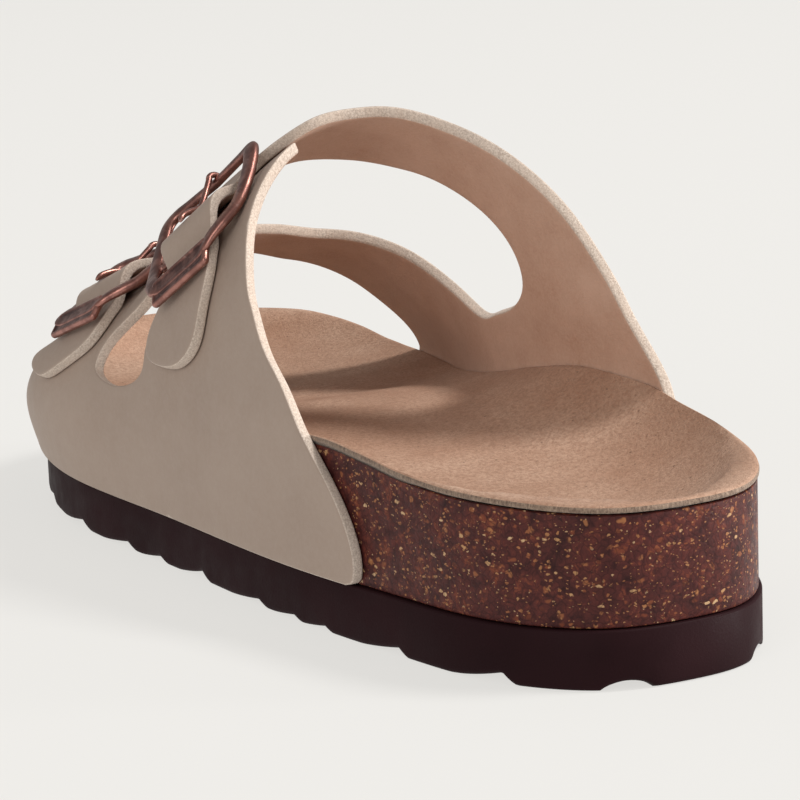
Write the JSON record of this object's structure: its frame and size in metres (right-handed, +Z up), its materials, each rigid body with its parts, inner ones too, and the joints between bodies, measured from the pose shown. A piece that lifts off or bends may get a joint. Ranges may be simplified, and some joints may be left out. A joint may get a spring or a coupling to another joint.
{
  "type": "cork footbed sandal",
  "caption": "Left cork footbed sandal with moulded footbed, wrap leather upper with overlapping straps and buckles on the outer side, on a thin lugged sole.",
  "frame": {"origin": "on the floor under the middle of the heel, at the heel's resting spot", "axes": "+Y towards the toe, +X towards the medial side (inner side of a left foot), +Z up; the buckles are on the -X side"},
  "size_m": [0.105, 0.255, 0.1006],
  "materials": {
    "outsole_foam": "satin dark foam",
    "cork": "lacquered cork granules",
    "suede": "suede",
    "upper_leather": "smooth matte",
    "copper": "antique copper plating"
  },
  "bodies": {
    "root": {"outsole": "outsole_foam", "cork_footbed": "cork", "insole": "suede", "upper_lateral": "upper_leather", "upper_medial": "upper_leather", "buckle_rear": "copper", "buckle_front": "copper", "prong_rear": "copper", "prong_front": "copper"}
  },
  "joints": []
}
